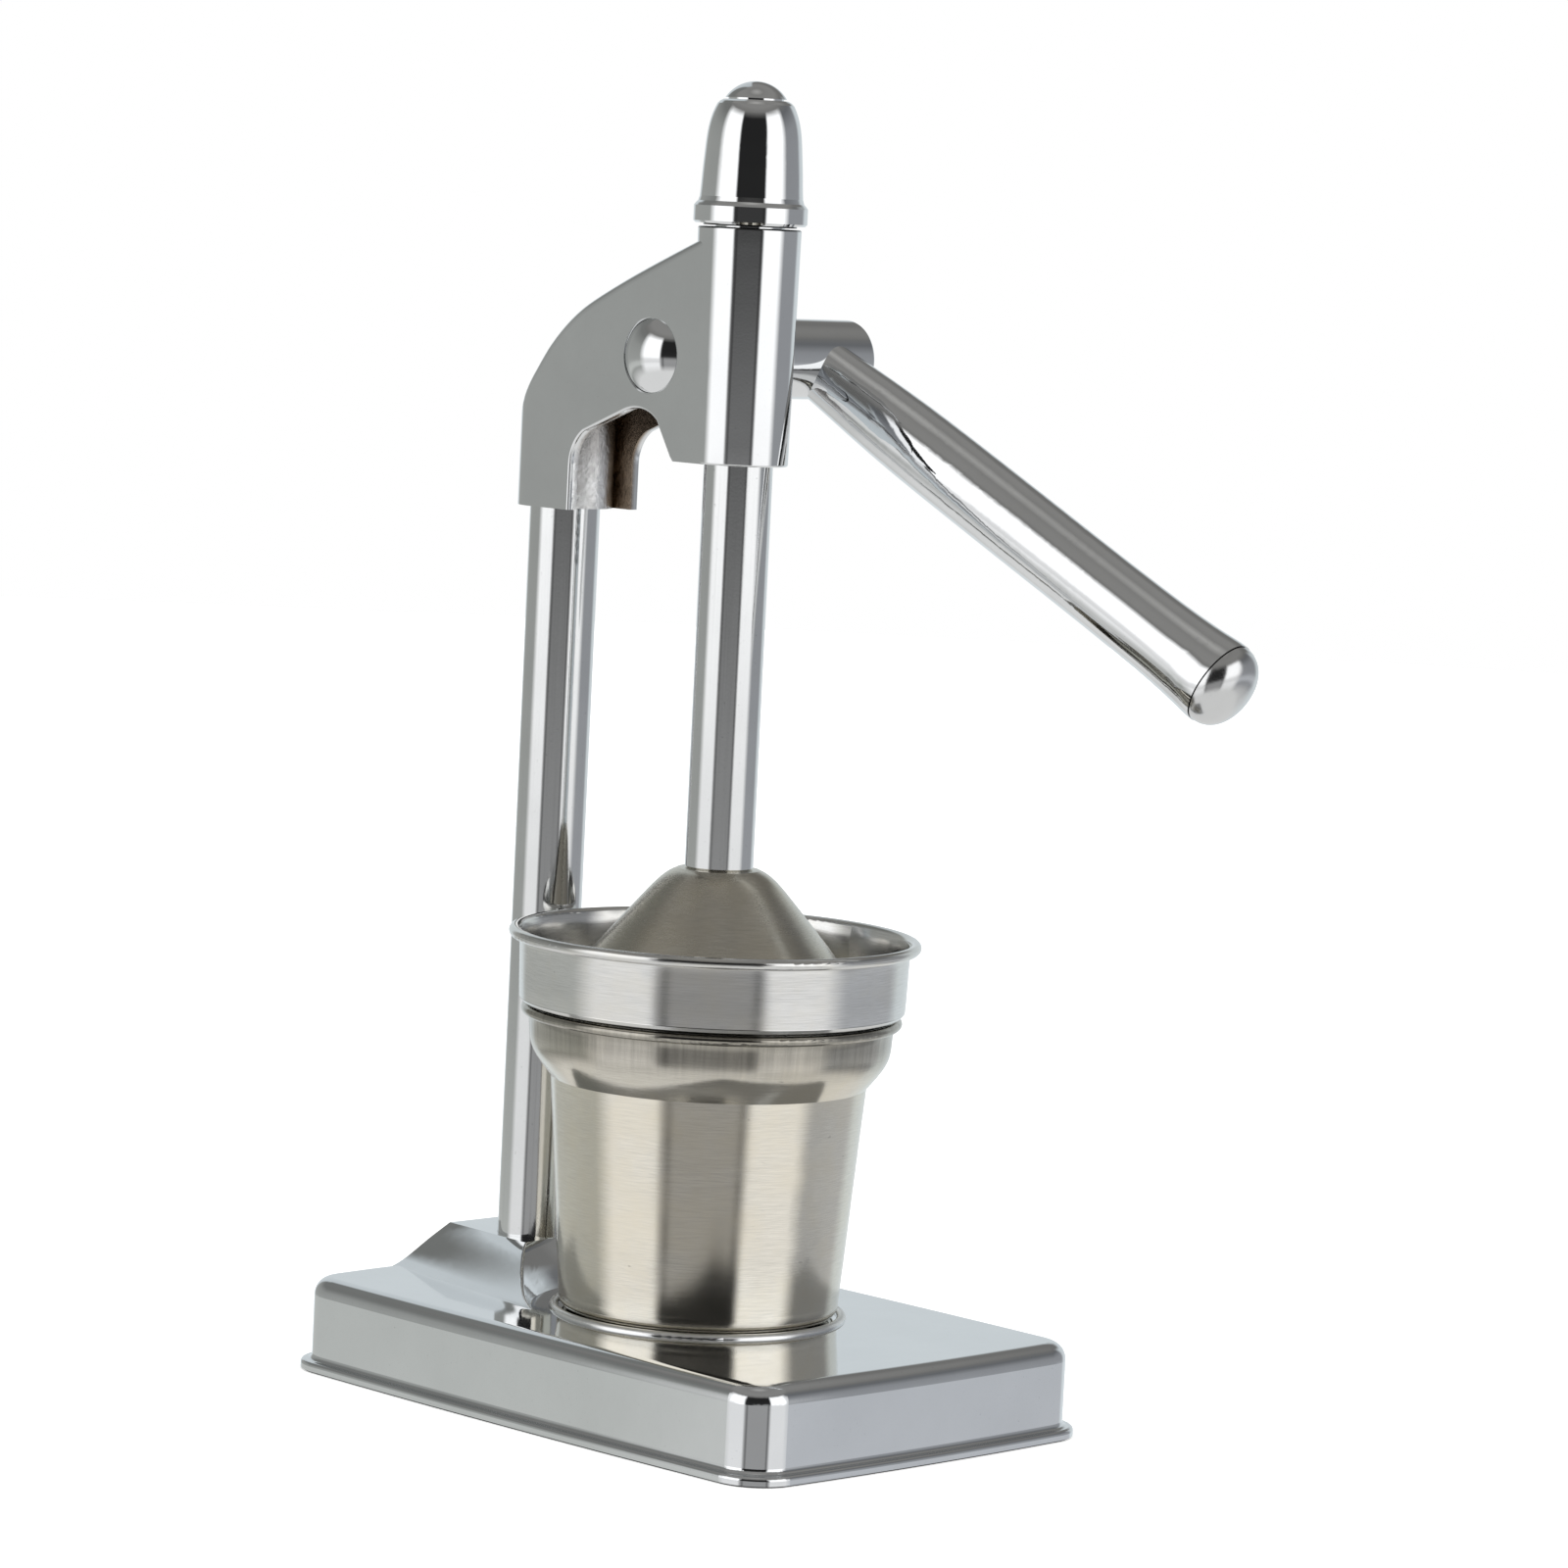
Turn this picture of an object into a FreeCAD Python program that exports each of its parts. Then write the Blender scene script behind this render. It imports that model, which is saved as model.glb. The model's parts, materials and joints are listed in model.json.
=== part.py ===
import FreeCAD, Part
import math
import os

# Lever citrus press. Millimetres, +Z up, front towards -Y, lever on the +X side.
# The origin is the centre of the base's resting face.

os.makedirs("parts", exist_ok=True)

V = FreeCAD.Vector
Z = V(0, 0, 1)
X = V(1, 0, 0)

# ---------------------------------------------------------------- base
BASE_W = 130.0
BASE_D = 191.0
BASE_TOP = 26.6
BASE_CORNER_R = 12.0
BASE_BEND_R = 5.0
BASE_SHEET = 1.2
SIDE_BULGE = 1.9
LIP_W = 135.5
LIP_D = 196.5
LIP_Z = 0.5
LIP_T = 2.5
LIP_CORNER_R = 14.0
LIP_BLEND_R = 1.5
RIM_GROOVE_W = 2.6
RIM_GROOVE_DEPTH = 1.4
RIM_STRIP_W = 128.7
RIM_STRIP_D = 189.7
BEAD_R = 40.55
BEAD_SECTION_R = 1.35

# Saddle at the back of the base: per level (height, back half width, back y,
# crease x, radius of the hollow front face about the ram axis).
SADDLE = [
    (24.9, 34.0, 92.0, 44.6, 45.8),
    (26.5, 29.0, 92.0, 41.4, 46.8),
    (28.2, 24.9, 92.0, 36.4, 48.3),
    (31.0, 20.5, 91.5, 29.3, 50.7),
    (34.4, 15.6, 90.6, 21.9, 54.3),
    (37.8, 10.5, 89.4, 13.2, 59.6),
]
SADDLE_SHEET = 1.5
SADDLE_CREASE_R = 1.0

# ---------------------------------------------------------------- stand
RAM_Y = -4.6
COL_Y = 65.4
COL_R = 10.0
COL_WALL = 2.0
COL_BOTTOM = 14.0
COL_TOP = 269.0
PLUG_LEN = 22.0
PLATE_T = 3.0
BOLT_R = 4.0

# ---------------------------------------------------------------- head
PIVOT_Y = 18.6
PIVOT_Z = 293.7
HEAD_HALF_W = 13.6
HEAD_WALL = 3.2
HOLLOW_FRONT = 8.5
HEAD_BOTTOM = 248.5
SOCKET_R = 13.5
GUIDE_BOTTOM = 265.0
GUIDE_TOP = 330.5
GUIDE_R_BOTTOM = 13.7
GUIDE_R_TOP = 14.35
GUIDE_BORE_R = 11.2
HEAD_ROUND = 2.6
NOTCH_ROUND = 0.7
CAP_RECESS_R = 10.8
CAP_RECESS_DEPTH = 0.5
PIVOT_CAP_R = 10.4
PIVOT_CAP_H = 4.6
SCREW_Z = (254.0, 265.0)

# Outer edge of the side plates, back foot to guide, as (y, z).
HEAD_BACK = [
    (79.5, 248.5), (79.3, 262.0), (77.6, 270.0), (73.6, 278.0), (68.0, 285.8),
    (61.9, 294.0), (55.0, 300.9), (48.2, 305.9), (41.6, 309.5), (29.2, 315.4),
    (16.5, 320.9), (4.3, 326.0), (-4.6, 329.6),
]

# ---------------------------------------------------------------- gear pair
MODULE = 1.25
TEETH = 24
PRESSURE = math.radians(20.0)
BACKLASH = 0.16
PINION_R = MODULE * TEETH / 2.0
PINION_HALF_W = 7.0
PITCH_Y = PIVOT_Y - PINION_R
RACK_PITCH = math.pi * MODULE
RACK_GAPS_BELOW = 16
RACK_GAPS_ABOVE = 3

# ---------------------------------------------------------------- ram
RAM_R = 9.6
RAM_BOTTOM = 152.2
RAM_TOP = 356.0
BUSH_BORE_R = 9.65
CAP_BOTTOM = 330.9
CAP_TOP = 366.0
BUTTON_R = 8.5
BUTTON_TOP = 370.8
CONE_SHEET = 1.2

# ---------------------------------------------------------------- lever
SHAFT_R = 6.0
PIVOT_BUSH_R = 8.0
HUB_R = 11.4
HUB_START = 14.6
HUB_END = 64.4
LEVER_X = 49.0
LEVER_SPLAY = math.radians(12.0)
LEVER_DROP = math.radians(30.2)
LEVER_WALL = 1.5
END_R = 12.25
END_H = 8.1
END_PLUG_R = 10.3

# ---------------------------------------------------------------- vessels
CUP_SHEET = 0.9
BOWL_SHEET = 0.9


# ================================================================ helpers
def cyl(r, z0, z1, x=0.0, y=0.0):
    return Part.makeCylinder(r, z1 - z0, V(x, y, z0), Z)


def cyl_x(r, x0, x1, y=PIVOT_Y, z=PIVOT_Z):
    return Part.makeCylinder(r, x1 - x0, V(x0, y, z), X)


def cone(r0, r1, z0, z1, x=0.0, y=0.0):
    return Part.makeCone(r0, r1, z1 - z0, V(x, y, z0), Z)


def block(x0, x1, y0, y1, z0, z1):
    return Part.makeBox(x1 - x0, y1 - y0, z1 - z0, V(x0, y0, z0))


def polygon(points):
    return Part.makePolygon(points + [points[0]])


def spline(points):
    curve = Part.BSplineCurve()
    curve.interpolate(points)
    return curve.toShape()


def turned(points, y=RAM_Y):
    """Solid of revolution about a vertical axis from a closed (r, z) polygon."""
    wire = polygon([V(r, 0, z) for r, z in points])
    solid = Part.Face(wire).revolve(V(0, 0, 0), Z, 360)
    solid.translate(V(0, y, 0))
    return solid


def turned_smooth(points, closing, y=RAM_Y):
    """As turned, with a spline through points and straight lines through closing."""
    rows = [V(r, 0, z) for r, z in points]
    tail = [rows[-1]] + [V(r, 0, z) for r, z in closing] + [rows[0]]
    edges = [spline(rows)]
    for a, b in zip(tail, tail[1:]):
        edges.append(Part.makeLine(a, b))
    solid = Part.Face(Part.Wire(edges)).revolve(V(0, 0, 0), Z, 360)
    solid.translate(V(0, y, 0))
    return solid


def offset_points(points, t):
    """Points moved t to the left of the direction of travel."""
    out = []
    last = len(points) - 1
    for i, (r, z) in enumerate(points):
        ar, az = points[max(i - 1, 0)]
        br, bz = points[min(i + 1, last)]
        dr, dz = br - ar, bz - az
        size = math.hypot(dr, dz)
        out.append((r - t * dz / size, z + t * dr / size))
    return out


def sheet_turned(runs, t, y=RAM_Y):
    """Sheet wall of thickness t, revolved: splines that meet at creases, and their offsets."""
    points = runs[0] + [p for run in runs[1:] for p in run[1:]]
    moved = offset_points(points, t)
    outer, inner, start = [], [], 0
    for run in runs:
        stop = start + len(run)
        outer.append(spline([V(max(r, 0.0), 0, z) for r, z in run]))
        inner.append(spline([V(max(r, 0.0), 0, z) for r, z in moved[start:stop]][::-1]))
        start = stop - 1
    a, b = points[0], points[-1]
    c, d = moved[-1], moved[0]
    ends = [Part.makeLine(V(p[0], 0, p[1]), V(q[0], 0, q[1])) for p, q in ((b, c), (d, a))]
    wire = Part.Wire(outer + [ends[0]] + inner[::-1] + [ends[1]])
    solid = Part.Face(wire).revolve(V(0, 0, 0), Z, 360)
    solid.translate(V(0, y, 0))
    return solid


def bead(ring_r, r, z, y=RAM_Y):
    return Part.makeTorus(ring_r, r, V(0, y, z), Z)


def pick(shape, test):
    """Edges whose bounding box passes test."""
    return [e for e in shape.Edges if test(e.BoundBox)]


def save(shape, node):
    if len(shape.Solids) == 1:
        shape = shape.Solids[0]
    shape.exportStep("parts/%s.step" % node)


# ================================================================ base
def outline(width, depth, bulge):
    """Closed wire of a rectangle whose four sides bow outwards."""
    w, d = width / 2.0, depth / 2.0
    corners = [V(-w, -d, 0), V(w, -d, 0), V(w, d, 0), V(-w, d, 0)]
    mids = [V(0, -d - bulge, 0), V(w + bulge, 0, 0), V(0, d + bulge, 0), V(-w - bulge, 0, 0)]
    edges = []
    for i in range(4):
        arc = Part.Arc(corners[i], mids[i], corners[(i + 1) % 4])
        edges.append(arc.toShape())
    return Part.Wire(edges)


def slab(width, depth, z0, z1, corner_r):
    """Plate with bowed sides; width and depth are over the bulges."""
    w, d = width - 2 * SIDE_BULGE, depth - 2 * SIDE_BULGE
    body = Part.Face(outline(w, d, SIDE_BULGE)).extrude(V(0, 0, z1 - z0))
    body.translate(V(0, 0, z0))
    upright = pick(body, lambda b: b.ZLength > 0.9 * (z1 - z0))
    return body.makeFillet(corner_r, upright)


def top_edges(shape, z):
    return pick(shape, lambda b: abs(b.ZMin - z) < 1e-3 and abs(b.ZMax - z) < 1e-3)


def saddle_section(level, inset, drop):
    """One closed level of the saddle, inset by the sheet for the inside."""
    z, back_w, back_y, crease_x, front_r = level
    back_w, crease_x = back_w - inset * 1.25, crease_x - inset * 1.25
    back_y, front_r = back_y - inset, front_r + inset
    crease_y = RAM_Y + math.sqrt(front_r ** 2 - crease_x ** 2)
    z -= drop
    a, b = V(back_w, back_y, z), V(crease_x, crease_y, z)
    c, d = V(-crease_x, crease_y, z), V(-back_w, back_y, z)
    front = Part.Arc(b, V(0, RAM_Y + front_r, z), c).toShape()
    return Part.Wire([Part.makeLine(a, b), front, Part.makeLine(c, d), Part.makeLine(d, a)])


def saddle(inset, drop):
    return Part.makeLoft([saddle_section(s, inset, drop) for s in SADDLE], True, False)


def inside_lip(box):
    """True for an edge where the wall meets the lip, not one round the lip itself."""
    return max(abs(box.XMin), abs(box.XMax)) < BASE_W / 2 + 0.01 and \
        max(abs(box.YMin), abs(box.YMax)) < BASE_D / 2 + 0.01


def base_shell():
    body = slab(BASE_W, BASE_D, LIP_Z, BASE_TOP, BASE_CORNER_R)
    body = body.makeFillet(BASE_BEND_R, top_edges(body, BASE_TOP))
    lip = slab(LIP_W, LIP_D, LIP_Z, LIP_Z + LIP_T, LIP_CORNER_R)
    lip = lip.makeFillet(1.15, top_edges(lip, LIP_Z + LIP_T))
    body = body.fuse(lip).removeSplitter()
    ledge = LIP_Z + LIP_T
    root = [e for e in top_edges(body, ledge) if inside_lip(e.BoundBox)]
    body = body.makeFillet(LIP_BLEND_R, root)
    hump = saddle(0.0, 0.0)
    crease = pick(hump, lambda b: b.ZLength > 10 and b.YMax < 60)
    hump = hump.makeFillet(SADDLE_CREASE_R, crease)
    hump = hump.common(slab(BASE_W, BASE_D, BASE_TOP - 5.0, 60.0, BASE_CORNER_R))
    body = body.fuse(hump).removeSplitter()
    inner = slab(BASE_W - 2 * BASE_SHEET, BASE_D - 2 * BASE_SHEET, LIP_Z, BASE_TOP - BASE_SHEET,
                 BASE_CORNER_R - BASE_SHEET)
    inner = inner.makeFillet(BASE_BEND_R - BASE_SHEET, top_edges(inner, BASE_TOP - BASE_SHEET))
    room = slab(BASE_W - 2 * SADDLE_SHEET, BASE_D - 2 * SADDLE_SHEET, 18.0, 60.0, BASE_CORNER_R)
    body = body.cut(inner.fuse(saddle(SADDLE_SHEET, 1.2).common(room)))
    body = body.fuse(bead(BEAD_R, BEAD_SECTION_R, BASE_TOP))
    body = body.cut(rim_strip())
    body = body.cut(cyl(COL_R + 0.05, 0, 60, 0, COL_Y))
    return body


def rim_strip():
    """Rubber strip set in the groove under the lip; the object rests on it."""
    outer = slab(RIM_STRIP_W + 2 * RIM_GROOVE_W, RIM_STRIP_D + 2 * RIM_GROOVE_W, 0.0,
                 LIP_Z + RIM_GROOVE_DEPTH, LIP_CORNER_R - 0.8)
    hole = slab(RIM_STRIP_W, RIM_STRIP_D, 0.0, LIP_Z + RIM_GROOVE_DEPTH, LIP_CORNER_R - 3.4)
    return outer.cut(hole)


# ================================================================ column
def column_tube():
    tube = cyl(COL_R, COL_BOTTOM, COL_TOP, 0, COL_Y)
    return tube.cut(cyl(COL_R - COL_WALL, COL_BOTTOM, COL_TOP, 0, COL_Y))


def column_plug():
    """Threaded plug welded into the foot of the column."""
    body = cyl(COL_R - COL_WALL, COL_BOTTOM, COL_BOTTOM + PLUG_LEN, 0, COL_Y)
    return body.cut(cyl(BOLT_R, COL_BOTTOM, COL_BOTTOM + PLUG_LEN - 4, 0, COL_Y))


def stiffener():
    """Pressed steel tray under the base top that the column is bolted down to."""
    top = COL_BOTTOM
    tray = block(-30, 30, 46, 87, top - PLATE_T, top)
    tray = tray.makeFillet(5, pick(tray, lambda b: b.ZLength > PLATE_T - 0.1))
    tray = tray.fuse(block(-30, -27.5, 51, 82, top - 0.5, BASE_TOP - BASE_SHEET - 0.05))
    tray = tray.fuse(block(27.5, 30, 51, 82, top - 0.5, BASE_TOP - BASE_SHEET - 0.05))
    return tray.cut(cyl(BOLT_R + 0.3, 0, 40, 0, COL_Y)).removeSplitter()


def hexagon(across, z0, z1, x=0.0, y=0.0):
    r = across / math.sqrt(3.0)
    pts = [V(x + r * math.cos(math.radians(60 * i)), y + r * math.sin(math.radians(60 * i)), z0)
           for i in range(6)]
    return Part.Face(polygon(pts)).extrude(V(0, 0, z1 - z0))


def column_washer():
    z = COL_BOTTOM - PLATE_T
    ring = cyl(11.0, z - 1.6, z, 0, COL_Y)
    return ring.cut(cyl(BOLT_R + 0.3, 0, 40, 0, COL_Y))


def column_bolt():
    z = COL_BOTTOM - PLATE_T - 1.6
    head = hexagon(13.0, z - 5.3, z, 0, COL_Y)
    head = head.common(cone(6.4, 11.7, z - 5.3, z, 0, COL_Y))
    return head.fuse(cyl(BOLT_R, z - 1, COL_BOTTOM + PLUG_LEN - 6, 0, COL_Y)).removeSplitter()


# ================================================================ head
def head_edge():
    """Side view of the casting: outer edge, guide side and bottom."""
    rows = [V(0, y, z) for y, z in HEAD_BACK]
    last = rows[-1]
    corner = [last, V(0, RAM_Y, HEAD_BOTTOM), rows[0]]
    edges = [spline(rows)]
    for a, b in zip(corner, corner[1:]):
        edges.append(Part.makeLine(a, b))
    return Part.Wire(edges)


def across_x(wire, half):
    """Side-view wire extruded symmetrically across x."""
    body = Part.Face(wire).extrude(V(2 * half, 0, 0))
    body.translate(V(-half, 0, 0))
    return body


def plan_solid(half, back_r, z0, z1):
    """Plan view of the casting: parallel sides with a half-round back."""
    body = block(-half, half, RAM_Y, COL_Y, z0, z1)
    return body.fuse(cyl(back_r, z0, z1, 0, COL_Y)).removeSplitter()


def notch_wire():
    """Arched opening in the lower edge of both side plates."""
    low = HEAD_BOTTOM - 2
    a, b = V(0, 49.6, low), V(0, 49.6, 261.5)
    c, d = V(0, 44.4, 271.2), V(0, 28.0, 278.0)
    e, f = V(0, 15.2, 275.8), V(0, 9.2, 266.0)
    g, h = V(0, 8.3, GUIDE_BOTTOM), V(0, RAM_Y - 0.1, GUIDE_BOTTOM)
    i = V(0, RAM_Y - 0.1, low)
    edges = [
        Part.makeLine(a, b),
        Part.Arc(b, V(0, 48.2, 267.1), c).toShape(),
        Part.makeLine(c, d),
        Part.Arc(d, V(0, 21.2, 278.7), e).toShape(),
        Part.makeLine(e, f),
        Part.makeLine(f, g),
        Part.makeLine(g, h),
        Part.makeLine(h, i),
        Part.makeLine(i, a),
    ]
    return Part.Wire(edges)


def inner_edge():
    """Side view of the hollow between the plates, from the guide back to the column boss."""
    rows = [V(0, y, z) for y, z in offset_points(HEAD_BACK, HEAD_WALL)]
    rows = [p for p in rows if 8.0 < p.y < 64.0]
    low = HEAD_BOTTOM - 2
    back, front = rows[0], rows[-1]
    top = V(0, HOLLOW_FRONT, front.z + 0.43 * (front.y - HOLLOW_FRONT))
    a, b = V(0, back.y, low), V(0, HOLLOW_FRONT, low)
    lines = [Part.makeLine(p, q) for p, q in ((front, top), (top, b), (b, a), (a, back))]
    return Part.Wire([spline(rows)] + lines)


def on_notch(box):
    """True for a notch edge on either outer face of the casting."""
    flat = box.XLength < 1e-3 and abs(abs(box.XMin) - HEAD_HALF_W) < 1e-3
    return flat and box.YMin > 8.2 and box.YMax < 49.7 and box.ZMax < 279.5


def head_casting():
    body = across_x(head_edge(), HEAD_HALF_W + 2)
    body = body.common(plan_solid(HEAD_HALF_W, SOCKET_R + 0.1, HEAD_BOTTOM, GUIDE_TOP + 4))
    rim = pick(body, lambda b: b.ZLength > 8 and b.YLength > 8)
    body = body.makeFillet(HEAD_ROUND, rim)
    outer = body.copy()
    body = body.cut(across_x(notch_wire(), 20))
    body = body.makeFillet(NOTCH_ROUND, pick(body, on_notch))
    body = body.cut(across_x(inner_edge(), HEAD_HALF_W - HEAD_WALL))
    boss = cyl(SOCKET_R, HEAD_BOTTOM, GUIDE_TOP, 0, COL_Y).common(outer)
    body = body.fuse(boss)
    guide = cone(GUIDE_R_BOTTOM, GUIDE_R_TOP, GUIDE_BOTTOM, GUIDE_TOP, 0, RAM_Y)
    guide = guide.makeFillet(0.6, guide.Edges)
    body = body.fuse(guide)
    body = body.cut(cyl(20, GUIDE_TOP, GUIDE_TOP + 20, 0, RAM_Y))
    body = body.cut(cyl(COL_R + 0.02, HEAD_BOTTOM - 1, COL_TOP + 0.5, 0, COL_Y))
    body = body.cut(cyl(GUIDE_BORE_R, GUIDE_BOTTOM - 1, GUIDE_TOP + 1, 0, RAM_Y))
    window = PINION_R + MODULE + 1.2
    body = body.cut(cyl_x(window, -PINION_HALF_W - 1, PINION_HALF_W + 1))
    body = body.cut(cyl_x(PIVOT_BUSH_R, -HEAD_HALF_W + 1.2, 20))
    body = body.cut(cyl_x(CAP_RECESS_R, -HEAD_HALF_W - 1, -HEAD_HALF_W + CAP_RECESS_DEPTH))
    for z in SCREW_Z:
        body = body.cut(Part.makeCylinder(3.0, 30, V(0, COL_Y, z), V(0, 1, 0)))
    return body.removeSplitter()


def set_screws():
    screws = []
    for z in SCREW_Z:
        body = Part.makeCylinder(3.0, 2.6, V(0, COL_Y + COL_R + 0.05, z), V(0, 1, 0))
        socket = hexagon(3.0, 0, 2.0)
        socket.rotate(V(0, 0, 0), X, -90)
        socket.translate(V(0, COL_Y + COL_R + 1.0, z))
        screws.append(body.cut(socket))
    return Part.makeCompound(screws)


def guide_bush(z0, z1):
    bush = cyl(GUIDE_BORE_R, z0, z1, 0, RAM_Y)
    return bush.cut(cyl(BUSH_BORE_R, z0, z1, 0, RAM_Y))


def pivot_bush(x0, x1, flange_x0, flange_x1):
    bush = cyl_x(PIVOT_BUSH_R, x0, x1)
    bush = bush.fuse(cyl_x(PIVOT_BUSH_R + 1.8, flange_x0, flange_x1))
    return bush.cut(cyl_x(SHAFT_R + 0.05, x0 - 5, x1 + 5)).removeSplitter()


def pivot_cap():
    """Domed cover pressed over the blind end of the pivot."""
    r, h = PIVOT_CAP_R, PIVOT_CAP_H
    big = (r * r + h * h) / (2 * h)
    centre = V(-HEAD_HALF_W + CAP_RECESS_DEPTH - h - 0.3 + big, PIVOT_Y, PIVOT_Z)
    dome = Part.makeSphere(big, centre)
    return dome.common(cyl_x(r, -HEAD_HALF_W - h - 2, -HEAD_HALF_W + CAP_RECESS_DEPTH))


# ================================================================ gear pair
def involute(angle, base_r):
    return (base_r * (math.cos(angle) + angle * math.sin(angle)),
            base_r * (math.sin(angle) - angle * math.cos(angle)))


def pinion_flank(side, turn):
    """Points of one involute flank from root to tip, in the (y, z) plane."""
    base_r = PINION_R * math.cos(PRESSURE)
    tip_r = PINION_R + MODULE
    half = math.pi / (2 * TEETH) - BACKLASH / (4 * PINION_R)
    half += math.tan(PRESSURE) - PRESSURE
    limit = math.sqrt((tip_r / base_r) ** 2 - 1)
    points = []
    for i in range(7):
        u, v = involute(limit * i / 6.0, base_r)
        r, a = math.hypot(u, v), math.atan2(v, u)
        b = turn + side * (half - a)
        points.append(V(0, r * math.cos(b), r * math.sin(b)))
    return points


def drive_pinion():
    root_r = PINION_R - 1.25 * MODULE
    edges = []
    start = None
    end = None
    for i in range(TEETH):
        turn = math.pi + 2 * math.pi * i / TEETH
        low = pinion_flank(-1, turn)
        high = pinion_flank(1, turn)[::-1]
        foot = V(0, low[0].y, low[0].z).normalize() * root_r
        heel = V(0, high[-1].y, high[-1].z).normalize() * root_r
        if end is not None:
            edges.append(Part.makeLine(end, foot))
        else:
            start = foot
        edges.append(Part.makeLine(foot, low[0]))
        edges.append(spline(low))
        edges.append(Part.makeLine(low[-1], high[0]))
        edges.append(spline(high))
        edges.append(Part.makeLine(high[-1], heel))
        end = heel
    edges.append(Part.makeLine(end, start))
    gear = Part.Face(Part.Wire(edges)).extrude(V(2 * PINION_HALF_W, 0, 0))
    gear.translate(V(-PINION_HALF_W, PIVOT_Y, PIVOT_Z))
    gear = gear.cut(cyl_x(SHAFT_R, -10, 10))
    return gear.cut(key_block(PINION_HALF_W + 1))


def key_block(half):
    return block(-half, half, PIVOT_Y - 1.5, PIVOT_Y + 1.5, PIVOT_Z + 3.6, PIVOT_Z + 8.0)


def rack_gap(z):
    """One tooth space of the rack, cut into the back of the ram."""
    tip_y, root_y = PITCH_Y + MODULE, PITCH_Y - 1.25 * MODULE
    t = math.tan(PRESSURE)
    half = RACK_PITCH / 4.0 + BACKLASH / 4.0
    wide = half + MODULE * t
    narrow = half - 1.25 * MODULE * t
    far = tip_y + 1.0
    spread = wide + 1.0 * t
    pts = [V(-15, root_y, z - narrow), V(-15, far, z - spread),
           V(-15, far, z + spread), V(-15, root_y, z + narrow)]
    return Part.Face(polygon(pts)).extrude(V(30, 0, 0))


# ================================================================ ram
def ram_bar():
    bar = cyl(RAM_R, RAM_BOTTOM, RAM_TOP, 0, RAM_Y)
    ends = top_edges(bar, RAM_BOTTOM) + top_edges(bar, RAM_TOP)
    bar = bar.makeChamfer(0.5, ends)
    low = PIVOT_Z - (RACK_GAPS_BELOW + 0.5) * RACK_PITCH
    high = PIVOT_Z + (RACK_GAPS_ABOVE + 0.5) * RACK_PITCH
    bar = bar.cut(block(-12, 12, PITCH_Y + MODULE, 20, low, high))
    gaps = [rack_gap(PIVOT_Z + k * RACK_PITCH)
            for k in range(-RACK_GAPS_BELOW, RACK_GAPS_ABOVE + 1)]
    bar = bar.cut(Part.makeCompound(gaps))
    bar = bar.cut(cyl(3.0, RAM_BOTTOM - 1, RAM_BOTTOM + 22, 0, RAM_Y))
    return bar.cut(cyl(3.0, RAM_TOP - 20, RAM_TOP + 1, 0, RAM_Y))


def top_cap():
    """Bell cap over the top of the ram; its flange is the lower stop."""
    side = [(10.6, 364.4), (11.6, 362.2), (12.45, 359.4), (13.1, 355.6), (13.5, 351.0),
            (13.85, 346.2), (14.1, 341.6), (14.3, 338.8)]
    closing = [(14.7, 337.5), (15.3, 336.9), (15.8, 336.2), (15.8, CAP_BOTTOM + 1.1),
               (15.2, CAP_BOTTOM + 0.5), (13.0, CAP_BOTTOM + 0.5), (13.0, CAP_BOTTOM),
               (RAM_R, CAP_BOTTOM), (RAM_R, RAM_TOP), (3.0, RAM_TOP), (3.0, CAP_TOP - 0.4),
               (9.0, CAP_TOP - 0.4), (9.9, CAP_TOP - 0.9)]
    return turned_smooth(side, closing)


def cap_button():
    r, base = BUTTON_R, CAP_TOP - 0.4
    rise = BUTTON_TOP - (base + 0.5)
    big = (r * r + rise * rise) / (2 * rise)
    dome = Part.makeSphere(big, V(0, RAM_Y, BUTTON_TOP - big))
    lens = dome.common(cyl(r, base + 0.5, BUTTON_TOP + 1, 0, RAM_Y))
    lens = lens.fuse(cyl(r - 0.8, base, base + 0.6, 0, RAM_Y))
    return lens.cut(cyl(3.0, base - 1, base + 2.6, 0, RAM_Y)).removeSplitter()


def cap_stud():
    return cyl(3.0, RAM_TOP - 16, CAP_TOP + 2.2, 0, RAM_Y)


CONE_SIDE = [(12.2, 151.75), (14.3, 150.6), (16.9, 148.4), (21.0, 143.9), (25.8, 138.3),
             (30.4, 132.8), (35.0, 127.2), (39.6, 121.6), (43.4, 116.9)]


def press_cone():
    """Sheet funnel on the foot of the ram, with a rolled edge."""
    skirt = sheet_turned([CONE_SIDE], -CONE_SHEET)
    r, z = CONE_SIDE[0]
    inner = offset_points(CONE_SIDE, -CONE_SHEET)[0]
    crown = [(3.2, RAM_BOTTOM), (10.6, RAM_BOTTOM), (11.6, 152.05), (r, z), inner,
             (inner[0] - 1.0, RAM_BOTTOM - CONE_SHEET), (3.2, RAM_BOTTOM - CONE_SHEET)]
    body = skirt.fuse(turned(crown))
    rim = CONE_SIDE[-1]
    return body.fuse(bead(rim[0] - 0.2, 0.95, rim[1] - 0.3)).removeSplitter()


def cone_washer():
    z = RAM_BOTTOM - CONE_SHEET
    return cyl(8.0, z - 1.6, z, 0, RAM_Y).cut(cyl(3.2, z - 2, z + 1, 0, RAM_Y))


def cone_screw():
    z = RAM_BOTTOM - CONE_SHEET - 1.6
    head = cyl(5.0, z - 3.2, z, 0, RAM_Y)
    head = head.makeFillet(1.2, top_edges(head, z - 3.2))
    head = head.cut(hexagon(4.0, z - 3.3, z - 1.3, 0, RAM_Y))
    return head.fuse(cyl(3.0, z - 0.5, RAM_BOTTOM + 16, 0, RAM_Y)).removeSplitter()


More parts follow.
